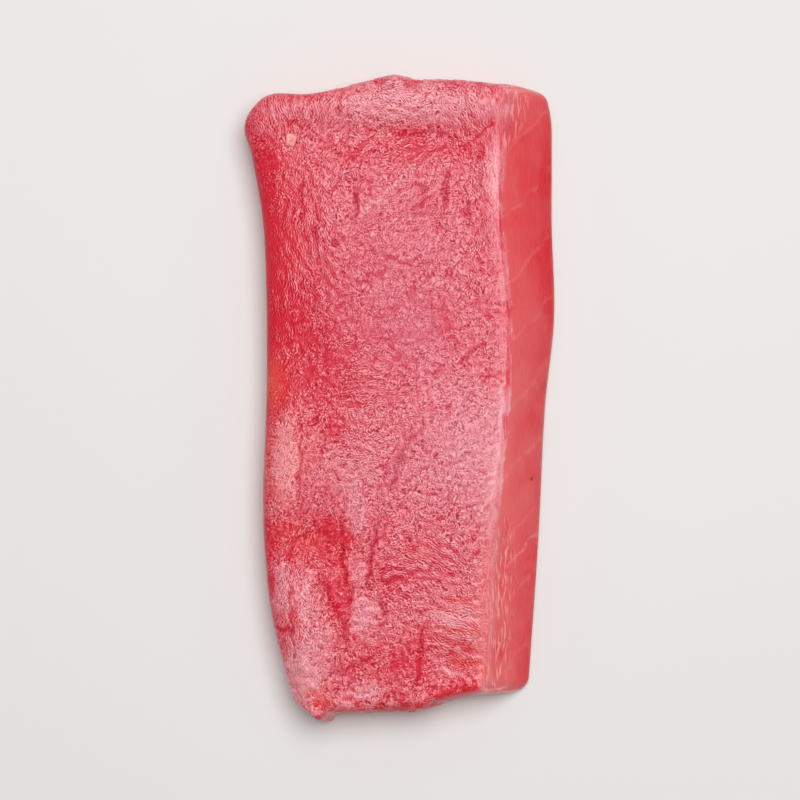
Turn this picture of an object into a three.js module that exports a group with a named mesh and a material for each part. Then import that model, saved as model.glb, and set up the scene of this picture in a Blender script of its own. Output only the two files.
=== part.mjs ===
// One slice of raw tuna, cut for sashimi, lying flat with its wide cut face up.
// It is one piece of flesh: a soft slab, cut askew so that its right side slopes outwards
// and its left side leans under, with rolled left and far edges and a torn near edge.
// Millimetres. +X runs across the slice, +Y along it towards the far end, +Z up.
// The origin is on the underside, at the middle of the slice's extent.
import * as THREE from "three";

// Driving sizes
const THICKNESS = 7.7; // of the flat middle of the slice
const FOOT_ROUND = 0.8; // radius where the sides turn under
const CORNER_ROUND = 1.8; // radius of the corners in plan
const FLANK_SWELL = 0.3; // how far the soft sides stand out at mid height
const LEFT_LEAN = 1.9; // how far the left side leans under its upper edge
const FAR_LEAN = 0.5;
const NEAR_SPREAD = 0.7; // the near end's foot stands this far in front of its upper edge

// Mesh spacing
const STEPS_ACROSS = 27;
const STEPS_ALONG = 70;
const FLANK_STEPS = 4;
const EDGE_CROWDING = 0.45; // 0 spaces the lines evenly, towards 1 crowds them at the edges

// The outline of the upper face, as four edges that meet at its corners: [x, y]
const LEFT_EDGE = [
  [-12.8, -40.2],
  [-14.4, -35.0],
  [-16.3, -26.0],
  [-17.1, -14.0],
  [-16.6, 2.0],
  [-16.9, 20.0],
  [-18.4, 30.0],
  [-19.5, 34.2],
  [-18.4, 37.4],
];
const RIGHT_EDGE = [
  [11.7, -37.9],
  [12.1, -29.0],
  [12.8, -17.0],
  [14.2, -3.0],
  [14.7, 9.0],
  [13.6, 22.0],
  [13.8, 33.0],
  [14.6, 39.6],
];
const NEAR_EDGE = [
  [-12.8, -40.2],
  [-11.2, -40.5],
  [-9.9, -41.6],
  [-8.5, -40.5],
  [-4.0, -40.3],
  [0.6, -40.0],
  [3.0, -40.2],
  [5.0, -39.1],
  [9.0, -38.1],
  [11.7, -37.9],
];
const FAR_EDGE = [
  [-18.4, 37.4],
  [-15.6, 38.6],
  [-11.0, 38.6],
  [-5.6, 39.7],
  [-0.4, 41.0],
  [2.4, 40.4],
  [8.5, 40.3],
  [14.6, 39.6],
];
// The foot of the sloping right side, and the rounded corner that joins it to the far end
const RIGHT_FOOT = [
  [17.1, -38.3],
  [17.7, -30.0],
  [18.5, -18.0],
  [19.3, -2.0],
  [20.5, 10.0],
  [20.2, 22.0],
  [20.2, 31.0],
  [20.1, 35.8],
  [19.2, 39.8],
];

// How each upper edge rolls down: fall is its drop, reach the width that it takes
const ROLL = {
  left: { fall: 2.6, reach: 4.4 },
  far: { fall: 1.5, reach: 2.6 },
  right: { fall: 0.3, reach: 0.8 },
  near: { fall: 0.8, reach: 1.3 },
};

// Swells and hollows of the upper face: centre, half widths, and rise above the flat
const SWELLS = [
  { name: "far lobe", x: -1.0, y: 37.6, wide: 16.0, long: 3.2, rise: 0.45 },
  { name: "far hollow", x: 1.0, y: 33.2, wide: 14.0, long: 2.4, rise: -0.65 },
  { name: "upper swell", x: 2.0, y: 21.0, wide: 11.0, long: 9.0, rise: 0.35 },
  { name: "left hollow", x: -12.5, y: 5.0, wide: 4.5, long: 8.0, rise: -0.7 },
  { name: "middle plateau", x: 7.0, y: -5.0, wide: 7.0, long: 10.0, rise: 0.55 },
  { name: "red hollow", x: -10.5, y: -18.5, wide: 4.2, long: 5.0, rise: -0.95 },
  { name: "near left lobe", x: -10.0, y: -32.0, wide: 4.2, long: 6.0, rise: 0.5 },
  { name: "near right hollow", x: 8.0, y: -34.0, wide: 4.5, long: 3.4, rise: -0.6 },
  { name: "near flake", x: 3.2, y: -39.0, wide: 1.5, long: 1.2, rise: 0.5 },
];

// Creases pressed into the upper face: the points that each follows, its depth and half width
const CREASES = [
  { name: "upper hook", depth: 0.3, half: 1.0, path: [[-5.3, 26.0], [-5.0, 23.5], [-6.3, 20.8], [-8.0, 18.5]] },
  { name: "middle crease", depth: 0.4, half: 1.1, path: [[2.2, -5.6], [0.8, -9.0], [-0.8, -13.0], [-2.2, -17.0]] },
  { name: "loop", depth: 0.45, half: 1.0, path: [[-6.2, -17.6], [-6.4, -22.0], [-4.2, -25.2], [-2.1, -22.8], [-2.0, -19.0]] },
  { name: "near crease", depth: 0.4, half: 0.9, path: [[3.3, -30.5], [3.1, -34.5], [2.1, -39.0]] },
  { name: "left crease", depth: 0.4, half: 0.9, path: [[-13.2, -20.5], [-13.0, -31.0]] },
];

// A smooth curve through points of the plan
function curveThrough(points) {
  return new THREE.SplineCurve(points.map(([x, y]) => new THREE.Vector2(x, y)));
}

// Even steps from 0 to 1, drawn towards both ends so that the rolled edges get more lines
function crowdedSteps(count) {
  return Array.from({ length: count + 1 }, (_, i) => {
    const even = i / count;
    return even - (EDGE_CROWDING * Math.sin(2 * Math.PI * even)) / (2 * Math.PI);
  });
}

// The same edge moved sideways by a fixed amount
function movedEdge(points, dx, dy) {
  return points.map(([x, y]) => [x + dx, y + dy]);
}

// The far and near feet keep the shape of their upper edges, lean with the left side where
// they meet it, and run out to the right foot
function footTowards(upper, dy, corner) {
  const foot = upper.map(([x, y], i) => [x + LEFT_LEAN * (1 - i / (upper.length - 1)), y + dy]);
  return [...foot, corner];
}

const upperEdges = {
  left: curveThrough(LEFT_EDGE),
  right: curveThrough(RIGHT_EDGE),
  near: curveThrough(NEAR_EDGE),
  far: curveThrough(FAR_EDGE),
};

// Left, right, near and far feet share their end points, so the foot outline closes
const nearFootPoints = footTowards(NEAR_EDGE, -NEAR_SPREAD, RIGHT_FOOT[0]);
const farFootPoints = footTowards(FAR_EDGE, -FAR_LEAN, RIGHT_FOOT[RIGHT_FOOT.length - 1]);
const leftFootPoints = movedEdge(LEFT_EDGE, LEFT_LEAN, 0);
leftFootPoints[0] = nearFootPoints[0];
leftFootPoints[leftFootPoints.length - 1] = farFootPoints[0];
const footEdges = {
  left: curveThrough(leftFootPoints),
  right: curveThrough(RIGHT_FOOT),
  near: curveThrough(nearFootPoints),
  far: curveThrough(farFootPoints),
};

const WIDTH = upperEdges.right.getPointAt(0.5).x - upperEdges.left.getPointAt(0.5).x;
const LENGTH = upperEdges.left.getLength();

// How far a place is into a rounded corner, 0 to 1, from its distances to both ends of a span
function intoCorner(share, span) {
  const distance = Math.min(share, 1 - share) * span;
  return Math.max(0, 1 - distance / CORNER_ROUND);
}

// A place by its shares of the way across and along, drawn in where the corners are rounded
function softenCorners(across, along) {
  const a = intoCorner(across, WIDTH);
  const b = intoCorner(along, LENGTH);
  const drawnAcross = (a * (1 - Math.sqrt(1 - (b * b) / 2)) * CORNER_ROUND) / WIDTH;
  const drawnAlong = (b * (1 - Math.sqrt(1 - (a * a) / 2)) * CORNER_ROUND) / LENGTH;
  return [
    across + (across < 0.5 ? drawnAcross : -drawnAcross),
    along + (along < 0.5 ? drawnAlong : -drawnAlong),
  ];
}

// A point inside four edges that meet at their corners, across and along from 0 to 1
function planPoint(edges, shareAcross, shareAlong) {
  const [across, along] = softenCorners(shareAcross, shareAlong);
  const left = edges.left.getPointAt(along);
  const right = edges.right.getPointAt(along);
  const near = edges.near.getPointAt(across);
  const far = edges.far.getPointAt(across);
  const nearLeft = edges.near.getPointAt(0);
  const nearRight = edges.near.getPointAt(1);
  const farLeft = edges.far.getPointAt(0);
  const farRight = edges.far.getPointAt(1);
  return new THREE.Vector2()
    .addScaledVector(left, 1 - across)
    .addScaledVector(right, across)
    .addScaledVector(near, 1 - along)
    .addScaledVector(far, along)
    .addScaledVector(nearLeft, -(1 - across) * (1 - along))
    .addScaledVector(nearRight, -across * (1 - along))
    .addScaledVector(farLeft, -(1 - across) * along)
    .addScaledVector(farRight, -across * along);
}

// The drop of a rolled edge at a distance in from it: a quarter of an ellipse
function rollDrop(distance, { fall, reach }) {
  if (distance >= reach) return 0;
  return fall * (1 - Math.sqrt(1 - (1 - distance / reach) ** 2));
}

const creaseLines = CREASES.map((crease) => ({
  ...crease,
  points: curveThrough(crease.path).getSpacedPoints(16),
}));

function distanceToLine(point, line) {
  let least = Infinity;
  const nearest = new THREE.Vector2();
  for (let i = 1; i < line.length; i++) {
    const run = line[i].clone().sub(line[i - 1]);
    const share = THREE.MathUtils.clamp(
      point.clone().sub(line[i - 1]).dot(run) / run.lengthSq(), 0, 1);
    nearest.copy(line[i - 1]).addScaledVector(run, share);
    least = Math.min(least, nearest.distanceTo(point));
  }
  return least;
}

// The height of the upper face at a place, before its edges roll down
function faceHeight(point) {
  let height = THICKNESS;
  for (const { x, y, wide, long, rise } of SWELLS) {
    height += rise * Math.exp(-(((point.x - x) / wide) ** 2) - ((point.y - y) / long) ** 2);
  }
  for (const { points, depth, half } of creaseLines) {
    height -= depth * Math.exp(-((distanceToLine(point, points) / half) ** 2));
  }
  return height;
}

// The upper face as a grid of points, near left corner first
function upperGrid() {
  const acrossSteps = crowdedSteps(STEPS_ACROSS);
  return crowdedSteps(STEPS_ALONG).map((along) =>
    acrossSteps.map((across) => {
      const place = planPoint(upperEdges, across, along);
      const sideDrop = rollDrop(across * WIDTH, ROLL.left) + rollDrop((1 - across) * WIDTH, ROLL.right);
      const endDrop = rollDrop(along * LENGTH, ROLL.near) + rollDrop((1 - along) * LENGTH, ROLL.far);
      return new THREE.Vector3(place.x, place.y, faceHeight(place) - Math.hypot(sideDrop, endDrop));
    }),
  );
}

// The border of a grid of rows, once round and anticlockwise from above, as [row, column]
function borderPlaces(rows, columns) {
  const places = [];
  for (let c = 0; c < columns; c++) places.push([0, c]);
  for (let r = 1; r < rows; r++) places.push([r, columns - 1]);
  for (let c = columns - 2; c >= 0; c--) places.push([rows - 1, c]);
  for (let r = rows - 2; r > 0; r--) places.push([r, 0]);
  return places;
}

// A loop round the foot, under the upper face's border and set in from the foot's edges
function footLoop(places, inset) {
  const acrossSteps = crowdedSteps(STEPS_ACROSS);
  const alongSteps = crowdedSteps(STEPS_ALONG);
  return places.map(([r, c]) => planPoint(
    footEdges,
    THREE.MathUtils.lerp(0.5, acrossSteps[c], 1 - (2 * inset) / WIDTH),
    THREE.MathUtils.lerp(0.5, alongSteps[r], 1 - (2 * inset) / LENGTH),
  ));
}

// The outward direction in plan at each point of an anticlockwise loop
function outwardOf(loop) {
  return loop.map((_, i) => {
    const before = loop[(i + loop.length - 1) % loop.length];
    const after = loop[(i + 1) % loop.length];
    return new THREE.Vector2(after.y - before.y, before.x - after.x).normalize();
  });
}

// The rings of points down the sides from the upper border: the flank, then the rounded foot
function flankRings(upperBorder, places) {
  const foot = footLoop(places, 0);
  const outward = outwardOf(foot);
  const rings = [];
  for (let step = 1; step <= FLANK_STEPS; step++) {
    const down = step / FLANK_STEPS;
    const swell = FLANK_SWELL * Math.sin(Math.PI * down);
    rings.push(upperBorder.map((top, i) => {
      const plan = new THREE.Vector2(top.x, top.y).lerp(foot[i], down).addScaledVector(outward[i], swell);
      return new THREE.Vector3(plan.x, plan.y, THREE.MathUtils.lerp(top.z, FOOT_ROUND, down));
    }));
  }
  for (const angle of [Math.PI / 4, Math.PI / 2]) {
    const loop = footLoop(places, FOOT_ROUND * (1 - Math.cos(angle)));
    const height = FOOT_ROUND * (1 - Math.sin(angle));
    rings.push(loop.map(({ x, y }) => new THREE.Vector3(x, y, height)));
  }
  return rings;
}

// One closed surface: the upper grid, the rings down the sides, and the flat underside
function sliceGeometry() {
  const grid = upperGrid();
  const rows = grid.length;
  const columns = grid[0].length;
  const border = borderPlaces(rows, columns);
  const rings = flankRings(border.map(([r, c]) => grid[r][c]), border);
  const points = [...grid.flat(), ...rings.flat()];
  const faces = [];
  for (let r = 0; r + 1 < rows; r++) {
    for (let c = 0; c + 1 < columns; c++) {
      const corner = r * columns + c;
      faces.push([corner, corner + 1, corner + columns + 1], [corner, corner + columns + 1, corner + columns]);
    }
  }
  let upperRing = border.map(([r, c]) => r * columns + c);
  rings.forEach((ring, level) => {
    const lowerRing = ring.map((_, i) => rows * columns + level * ring.length + i);
    ring.forEach((_, i) => {
      const next = (i + 1) % ring.length;
      faces.push([upperRing[i], lowerRing[i], lowerRing[next]], [upperRing[i], lowerRing[next], upperRing[next]]);
    });
    upperRing = lowerRing;
  });
  const soleOutline = rings[rings.length - 1].map(({ x, y }) => new THREE.Vector2(x, y));
  for (const [a, b, c] of THREE.ShapeUtils.triangulateShape(soleOutline, [])) {
    faces.push([upperRing[a], upperRing[c], upperRing[b]]);
  }
  const geometry = new THREE.BufferGeometry().setFromPoints(points);
  geometry.setIndex(faces.flat());
  return geometry;
}

// The slice's extent is centred on the origin, with its underside at height 0
function centredOnUnderside(geometry) {
  geometry.computeBoundingBox();
  const middle = geometry.boundingBox.getCenter(new THREE.Vector3());
  geometry.translate(-middle.x, -middle.y, 0);
  geometry.computeVertexNormals();
  return geometry;
}

// Raw red flesh, moist and softly glossy
const rawFlesh = new THREE.MeshStandardMaterial({ color: 0xd24a55, roughness: 0.35, metalness: 0.0 });

const slice = new THREE.Mesh(centredOnUnderside(sliceGeometry()), rawFlesh);
slice.name = "tuna_slice";

const part = new THREE.Group();
part.add(slice);

export default part;
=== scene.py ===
import math
from functools import partial

import bpy
import numpy as np
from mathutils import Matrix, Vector


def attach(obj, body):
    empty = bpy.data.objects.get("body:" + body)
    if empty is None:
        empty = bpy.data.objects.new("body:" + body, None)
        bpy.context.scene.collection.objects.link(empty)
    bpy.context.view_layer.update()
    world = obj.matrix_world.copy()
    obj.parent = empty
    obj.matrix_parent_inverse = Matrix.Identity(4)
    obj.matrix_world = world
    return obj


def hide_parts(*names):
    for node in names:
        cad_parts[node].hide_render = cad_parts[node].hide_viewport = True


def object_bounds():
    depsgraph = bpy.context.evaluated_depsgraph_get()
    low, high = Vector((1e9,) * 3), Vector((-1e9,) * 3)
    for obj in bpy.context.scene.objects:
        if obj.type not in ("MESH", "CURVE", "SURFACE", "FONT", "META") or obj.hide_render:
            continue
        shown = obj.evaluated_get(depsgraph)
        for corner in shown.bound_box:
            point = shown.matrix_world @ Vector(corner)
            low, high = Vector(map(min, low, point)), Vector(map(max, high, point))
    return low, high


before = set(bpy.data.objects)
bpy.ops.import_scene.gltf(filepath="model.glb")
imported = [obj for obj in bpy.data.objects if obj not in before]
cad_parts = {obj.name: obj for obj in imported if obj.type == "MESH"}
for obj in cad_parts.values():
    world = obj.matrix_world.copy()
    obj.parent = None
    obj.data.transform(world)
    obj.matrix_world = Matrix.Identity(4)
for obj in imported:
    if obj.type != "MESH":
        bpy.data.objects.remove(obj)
cad_low, cad_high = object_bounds()

MM = 0.001
BODY = "root"
NODE = "tuna_slice"
SEED = 11

# The slice's driving sizes
THICKNESS = 7.7
FOOT_ROUND = 0.8
CORNER_ROUND = 1.8
FLANK_SWELL = 0.3
LEFT_LEAN = 1.9
FAR_LEAN = 0.5
NEAR_SPREAD = 0.7

# Fine mesh: steps across and along the face, and down the sides
STEPS_ACROSS = 172
STEPS_ALONG = 430
FLANK_STEPS = 15
FOOT_STEPS = 4
EDGE_CROWDING = 0.2

# The outline of the upper face, and of the foot of the sloping right side
LEFT_EDGE = [
    (-12.8, -40.2), (-14.4, -35), (-16.3, -26), (-17.1, -14), (-16.6, 2),
    (-16.9, 20), (-18.4, 30), (-19.5, 34.2), (-18.4, 37.4),
]
RIGHT_EDGE = [
    (11.7, -37.9), (12.1, -29), (12.8, -17), (14.2, -3), (14.7, 9),
    (13.6, 22), (13.8, 33), (14.6, 39.6),
]
NEAR_EDGE = [
    (-12.8, -40.2), (-11.2, -40.5), (-9.9, -41.6), (-8.5, -40.5), (-4, -40.3),
    (0.6, -40), (3, -40.2), (5, -39.1), (9, -38.1), (11.7, -37.9),
]
FAR_EDGE = [
    (-18.4, 37.4), (-15.6, 38.6), (-11, 38.6), (-5.6, 39.7), (-0.4, 41),
    (2.4, 40.4), (8.5, 40.3), (14.6, 39.6),
]
RIGHT_FOOT = [
    (17.1, -38.3), (17.7, -30), (18.5, -18), (19.3, -2), (20.5, 10),
    (20.2, 22), (20.2, 31), (20.1, 35.8), (19.2, 39.8),
]

# How each upper edge rolls down: its drop and width. The right edge is crisp along its middle,
# and turns soft towards the ends, from which y to which
ROLL = {"left": (2.6, 4.4), "far": (1.5, 2.6), "near": (0.8, 1.3)}
CRISP_ROLL = (0.3, 0.8)
SOFT_ROLL = (0.7, 2.4)
SOFT_EDGES = ((-12, -19), (31, 37))

# Swells and hollows of the upper face: centre, half widths, and rise above the flat
SWELLS = {
    "far lobe": (-1, 37.6, 16, 3.2, 0.45),
    "far hollow": (1, 33.2, 14, 2.4, -0.65),
    "upper swell": (2, 21, 11, 9, 0.35),
    "left hollow": (-12.5, 5, 4.5, 8, -0.7),
    "middle plateau": (7, -5, 7, 10, 0.55),
    "red hollow": (-10.5, -18.5, 4.2, 5, -0.95),
    "near left lobe": (-10, -32, 4.2, 6, 0.5),
    "near right hollow": (8, -34, 4.5, 3.4, -0.6),
    "near flake": (3.2, -39, 1.5, 1.2, 0.5),
}

# Creases: depth, half width, height of the lip beside them, and the points they follow
CREASES = {
    "upper hook": (0.34, 0.24, 0.07, [(-5.8, 26.8), (-5.1, 25.2), (-5, 23.8), (-5.4, 22.4), (-6, 21.2)]),
    "upper hook foot": (0.16, 0.2, 0.03, [(-6.6, 20.3), (-8.3, 18.8), (-8.4, 17.2)]),
    "middle crease": (0.3, 0.46, 0.06, [(2.3, -4.8), (1.1, -7.2), (0.2, -9.8), (-1, -12.4)]),
    "loop right": (0.34, 0.18, 0.08, [(-2.6, -16.6), (-2.9, -20), (-3.3, -22), (-4, -24.6), (-6.3, -24.5)]),
    "loop foot": (0.24, 0.24, 0.05, [(-4.6, -24.7), (-2.2, -24.2), (0.8, -23.2)]),
    "middle crease foot": (0.14, 0.3, 0.03, [(-1.4, -13.2), (-1.7, -15.4), (-2.6, -17.4)]),
    "middle vein": (0.14, 0.18, 0.03, [(3.1, -2.2), (3.2, -5.4), (3, -8.8)]),
    "plate side": (0.2, 0.22, 0.05, [(-2.6, -25.2), (-1.5, -26.8), (-1.6, -29.4), (-3, -31.4)]),
    "loop left": (0.32, 0.18, 0.07, [(-7, -15.4), (-6.9, -20.2), (-6.2, -24.6), (-5.8, -27.2), (-6.8, -30)]),
    "near crease": (0.26, 0.22, 0.05, [(3.3, -29.5), (3.1, -34.5), (2.1, -39)]),
    "left crease": (
        0.28, 0.18, 0.05,
        [(-13.3, -19.4), (-13.6, -22.5), (-13.5, -26.5), (-13.3, -29.4), (-13, -33)],
    ),
    "margin line far": (0.18, 0.16, 0.03, [(-12.3, 28), (-12.1, 26.2), (-12.2, 24.6)]),
    "margin line": (0.22, 0.18, 0.04, [(-10.5, 24.8), (-10.2, 21.6), (-10.2, 18.4)]),
    "margin line near": (0.22, 0.18, 0.04, [(-11.4, 15), (-10.6, 11.8), (-10.2, 8.2)]),
    "strip side": (0.2, 0.18, 0.03, [(-12.4, -3.6), (-12.1, -7), (-12.3, -10.4), (-12.7, -13.2)]),
    "strip side inner": (0.18, 0.18, 0.03, [(-9.6, -3.4), (-9.4, -6.4), (-9.8, -9)]),
    "flap foot": (0.2, 0.2, 0.03, [(-15.8, -29.4), (-14.6, -30), (-13.2, -30.2)]),
    "tongue fold": (0.24, 0.24, 0.05, [(-1.2, -32.1), (-2.9, -33.4), (-7.3, -35.5), (-10.4, -37.2)]),
    "upper vein": (0.22, 0.24, 0.04, [(6.8, 29.4), (6.3, 26), (5.8, 22.2)]),
    "upper vein right": (0.2, 0.22, 0.04, [(8.8, 25.4), (9.2, 23.2), (10, 20.8)]),
    "upper vein left": (0.18, 0.24, 0.04, [(1, 26), (3.4, 26.6), (3, 24.4), (1.4, 22.6)]),
    "spindle side": (0.14, 0.16, 0.02, [(11.3, 32), (10.9, 28.5), (11.2, 25), (12.2, 22.4)]),
    "centre vein": (0.13, 0.15, 0.02, [(-5, 18.4), (-2.6, 17.9), (0.4, 17), (2.6, 16)]),
    "plateau border": (0.16, 0.26, 0.04, [(6.6, 2.6), (8.6, 4.4), (11.4, 7)]),
    "plateau vein": (0.16, 0.22, 0.04, [(5.4, -10.2), (7.8, -8.6), (9.9, -7.5)]),
    "hollow seam": (0.16, 0.3, 0.03, [(-16.2, -19), (-12.6, -18.6), (-9.4, -17.6), (-7.6, -19.4)]),
    "red seam": (0.26, 0.3, 0.05, [(-10.6, -22.6), (-8.6, -25.6), (-7, -28.6), (-6, -32.6)]),
    "far seam left": (0.13, 0.26, 0.04, [(-13.8, 32.2), (-10.6, 32.6), (-7.4, 31.4), (-5.4, 28.2)]),
    "far seam right": (0.14, 0.34, 0.04, [(-2.6, 34.4), (1.4, 33), (5.6, 33.6), (9.6, 31.2)]),
    "far ridge": (-0.34, 0.34, -0.08, [(-11, 37.2), (-11.4, 34.9), (-12.2, 33.2)]),
    "far nick": (0.3, 0.26, 0.08, [(-6.8, 39.6), (-7.4, 37.4), (-6.9, 35.6)]),
}

# Pale lines, mostly of tissue: how pale they are, their half width, and the points they follow.
# The cut rim and the far ridge are painted highlights along an edge and a ridge, and the spindle
# strands paint a glinting facet
PALE_LINES = {
    "cut rim": (1.3, 0.22, [(13.9, 2.4), (13.4, -4), (12.8, -10), (12.4, -15), (11.9, -18.6)]),
    "upper diagonal": (0.4, 0.32, [(-7.4, 19.6), (-3.9, 23.5), (2.1, 28.7), (4.8, 30.9)]),
    "upper diagonal near": (0.5, 0.28, [(2.2, 12), (3.2, 13), (6.9, 16.6), (10, 20.6)]),
    "centre diagonal": (0.3, 0.3, [(-3.6, 12.4), (-1.2, 15), (1, 18.4)]),
    "far ridge": (0.5, 0.24, [(-11, 37.8), (-11.3, 35.2), (-12.2, 33.2)]),
    "far fan left": (0.5, 0.24, [(8.7, 39.4), (8.4, 37.4), (7.6, 34.8)]),
    "spindle strand": (0.4, 0.14, [(11.9, 31.8), (11.8, 29.2), (12.5, 26.2), (13.1, 23.6)]),
    "spindle strand left": (0.3, 0.14, [(11.4, 30.6), (11.2, 28), (11.7, 25)]),
    "far fan right": (0.5, 0.24, [(11, 39.8), (12.4, 38), (13, 35.6)]),
    "near streak far": (0.5, 0.24, [(5.6, -26.8), (8.6, -27.8), (11.8, -28.9)]),
    "near streak": (1, 0.28, [(4.2, -27.6), (6.6, -28.8), (9.6, -29.8)]),
    "near streak branch": (0.7, 0.22, [(5.6, -28.9), (8.2, -30.6), (11.6, -31.6)]),
    "near streak low": (0.8, 0.26, [(5.4, -31.6), (7.4, -32.5), (9.6, -33.8)]),
    "near streak foot": (0.6, 0.24, [(4.4, -33.4), (6.2, -35), (8.8, -36)]),
    "near fan": (0.6, 0.18, [(10, -32.8), (11.6, -34.4), (12, -36.8)]),
    "near lip": (0.5, 0.24, [(-7.6, -39.8), (-4, -39.7), (0.4, -39.4)]),
    "near lip right": (0.8, 0.22, [(10.2, -36.9), (12.2, -37.8), (14.6, -37.8)]),
    "tongue rim": (0.7, 0.26, [(-12.6, -39.6), (-10.8, -40.8), (-9.4, -40.6), (-8.2, -39.2)]),
    "side tissue": (0.5, 0.12, [(13.8, -22.2), (16, -20.4), (18.4, -17.6)]),
}

# How the cut face's colour changes from place to place: centre, half widths, then how much paler,
# more lilac and more orange it is there, with zeros at the end left off. Much of it is painted light:
# paler where painted sheen and highlights lie, redder where painted shade lies in hollows and on
# slopes turned from the light, lilac mostly for the painted sheen's cool tint, and orange partly for
# a painted glow of light through thin flesh
TINTS = {
    "far end": (1, 37.8, 13, 3.4, 0.64),
    "far left lobe": (-15.6, 36, 2.4, 2.6, 0.22, 0.1),
    "far lobe foot": (2, 35.8, 8, 1.4, 0.3),
    "far hollow": (5, 31.8, 10, 2.4, -0.32),
    "fleck tail": (-11.7, 32.5, 0.9, 0.4, 0.4),
    "far red spot": (1, 33.6, 1.6, 1.3, -0.34, -0.2),
    "upper middle": (0, 23, 7, 8, -0.05, 0.7),
    "upper right": (7, 19, 3.6, 5, 0.06, 0.2),
    "near edge glint": (12.2, -13, 1.6, 8, 0.24, -0.1, 0.2),
    "left margin": (-16.6, 17, 3.3, 13, -0.84, -0.5, 0.3),
    "left strands": (-12.4, 16, 2.4, 13, -0.2, -0.1),
    "left middle": (-10.4, 3.6, 4.6, 5, -0.52, 0, 0.1),
    "cut side far": (20, 22, 3.6, 13, -0.62),
    "cut side near": (17.4, -14, 2.6, 8, 0.26),
    "near right pale": (9, -30, 5, 4, 0.3, -0.2, 0.3),
    "near corner": (13, -36.4, 3, 2.4, 0.5, -0.3, 0.5),
    "near arris": (12.4, -27, 1.9, 8, 0.34, -0.4, 0.7),
    "cut side arris": (14.6, -24, 1.6, 14, 0.28),
    "lower left": (-8, -12, 3, 3, 0.2),
    "centre": (1, 10, 8, 8, -0.26, 0.95),
    "plateau": (8.5, -6, 5, 10, 0.24, 0.7),
    "broad middle": (4, -9, 10, 8, 0.26, 0.2),
    "right margin": (12.4, -11, 2.8, 14, 0.26, 0.2),
    "left rim": (-15.8, 1.6, 1.6, 3.2, -0.3, -0.4, 1.2),
    "left glow": (-14.4, -8, 3, 5, 0.3, -0.3, 0.4),
    "red seam far": (-12, -18.2, 5, 2.4, -0.46, -0.4, 0.4),
    "red hollow": (-8, -20.6, 2, 4.6, -0.46, -0.4, 0.1),
    "red hollow near": (-7.4, -27.2, 1.6, 3.8, -0.45, -0.2, 0.1),
    "near left lobe": (-10.5, -31.5, 2.8, 5, 0.5, 0.1),
    "tongue": (-12.6, -36.4, 2.8, 3.4, 1.2, 0, 0.2),
    "tongue glow": (-9.6, -38.6, 1.5, 1.5, -0.2, -0.3, 0.8),
    "above the loop": (-4.6, -12, 2.8, 4, 0.3, 0.2),
    "near middle": (-3.4, -29.4, 2.4, 2.8, 0.2, 0.1),
    "near red": (-1, -34, 5, 2.4, -0.16, -0.1, 0.1),
    "near crease red": (3, -33.8, 0.9, 3.4, -0.16, -0.1, 0.1),
    "near streak pale": (7, -28.5, 3.4, 0.9, 0.3),
    "near rim left": (-3, -40.4, 6, 0.7, -0.4, -0.2, 0.3),
    "near rim right": (7.6, -38, 3, 1.2, -0.5, -0.2, 0.3),
    "near torn flake": (2.9, -39, 1.5, 1.2, 0.4, 0, 0.1),
    "near right hollow": (5, -35.5, 6, 2.4, -0.18),
}

# How pale, lilac and orange it is elsewhere
PLAIN_TINT = (0.5, 0.15, 0)

# Plates of the cut face, with clear borders: centre, half widths, turn in degrees, then the
# same changes. Those named shade are painted shade
PLATES = {
    "left flap": (-14.4, -24.8, 1.4, 4.2, 0, 0.68, 0.1),
    "flap foot": (-14.5, -30, 1.5, 0.4, -8, -0.26, -0.1, 0.1),
    "flap side": (-16.1, -22.8, 0.35, 2.8, 0, -0.4, -0.2, 0.1),
    "left finger": (-11.7, -26, 1, 4, 3, 0.34, 0.1),
    "red hollow spot": (-7.7, -22.4, 0.8, 1.1, 0, 0.32, 0.1),
    "loop": (-4.9, -22.4, 1.3, 1.9, 0, 0.36, 0.3),
    "near plate": (-3.9, -27.9, 2.1, 2.9, 0, 0.42, 0.1),
    "near plate low": (-3.6, -37.9, 2.7, 1.1, 6, 0.5),
    "middle plate": (-5.1, -15.4, 1.4, 2.7, 5, 0.3, 0.3),
    # A long pale glint on a flat facet near the cut's edge: painted highlight
    "spindle": (12.4, 27.4, 0.9, 4.8, 4, 0.42, 0.1, 0.2),
    "plateau spot": (11.3, -2.8, 0.6, 1.1, -10, 0.34),
    "cream strip": (-14.2, -8.4, 1.6, 4.9, 0, 0.75, -0.3, 0.3),
    "loop shade": (0.2, -22.4, 2.4, 1.6, -12, -0.26, 0.3),
    "crease shade": (-0.5, -8.8, 0.8, 4.6, -20, -0.34, 1),
    "crease shade low": (-2.6, -15.8, 0.7, 2.6, -8, -0.24, 0.6),
    "centre shade": (3, 6, 3.2, 5.4, 0, -0.1, 0.45),
    "magenta patch": (-1.4, -0.3, 2, 0.9, 0, -0.2, 0.5),
    "red patch": (-6.8, 0.2, 2, 0.8, -33, -0.26),
    "red patch low": (-7.7, -3.4, 1.7, 2.4, 0, -0.3),
    "red spot": (-5, -1.1, 0.9, 0.5, 0, -0.4, -0.2, 0.1),
    "pale patch": (-5, -2.4, 1.6, 1.2, 0, 0.24, 0.1),
    "near red streak": (7.9, -26.1, 2.4, 0.35, -4, -0.36, -0.3, 0.5),
    "near red streak low": (8.4, -30.2, 2.2, 0.4, -15, -0.34, -0.2, 0.2),
    "near orange patch": (9.2, -34.2, 2.1, 0.9, -12, -0.3, -0.3, 0.5),
}

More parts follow.
